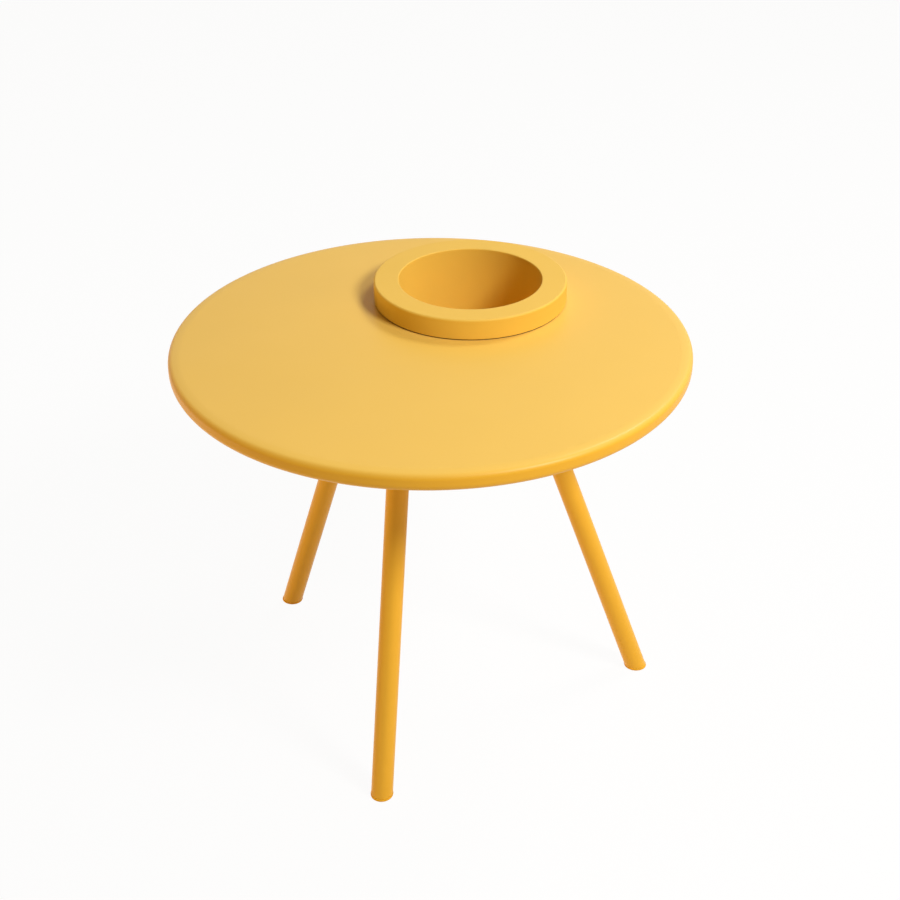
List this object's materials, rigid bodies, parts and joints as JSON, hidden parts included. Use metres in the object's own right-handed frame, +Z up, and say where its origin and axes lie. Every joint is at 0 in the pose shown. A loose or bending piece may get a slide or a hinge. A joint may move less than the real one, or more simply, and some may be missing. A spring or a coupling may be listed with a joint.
{
  "type": "planter table",
  "caption": "Round low outdoor side table with a rolled rim, splayed tube legs and an off-centre lift-out planter pot with a broad raised collar.",
  "frame": {"origin": "on the floor under the axis of the round tabletop, in the plane of the feet's lower faces", "axes": "+Z up; +Y from the tabletop's axis towards the planter pot's axis; +X to the right seen with the pot at the back"},
  "size_m": [0.5999, 0.6, 0.496],
  "materials": {
    "powder_coat": "matt mustard-yellow powder coat on steel",
    "pot_plastic": "matt mustard-yellow moulded plastic",
    "foot_plastic": "matt mustard-yellow moulded plastic",
    "seat_rubber": "dark brown soft rubber",
    "zinc_steel": "bright zinc plate"
  },
  "bodies": {
    "table": {"tabletop": "powder_coat", "base_plate": "powder_coat", "plate_studs": "zinc_steel", "plate_washers": "zinc_steel", "plate_nuts": "zinc_steel", "leg_socket_front": "powder_coat", "leg_stud_front": "zinc_steel", "leg_plug_front": "powder_coat", "leg_tube_front": "powder_coat", "leg_foot_front": "foot_plastic", "leg_socket_right": "powder_coat", "leg_stud_right": "zinc_steel", "leg_plug_right": "powder_coat", "leg_tube_right": "powder_coat", "leg_foot_right": "foot_plastic", "leg_socket_left": "powder_coat", "leg_stud_left": "zinc_steel", "leg_plug_left": "powder_coat", "leg_tube_left": "powder_coat", "leg_foot_left": "foot_plastic"},
    "seat_ring": {"pot_seat_ring": "seat_rubber"},
    "pot": {"planter_pot": "pot_plastic"}
  },
  "joints": [
    {"name": "pot_turn", "type": "hinge", "parent": "table", "child": "seat_ring", "pos_m": [0, 0.1215, 0.4713], "axis": [0, 0, 1], "continuous": true},
    {"name": "pot_lift", "type": "slide", "parent": "seat_ring", "child": "pot", "axis": [0, 0, 1], "range_m": [0, 0.18]}
  ]
}
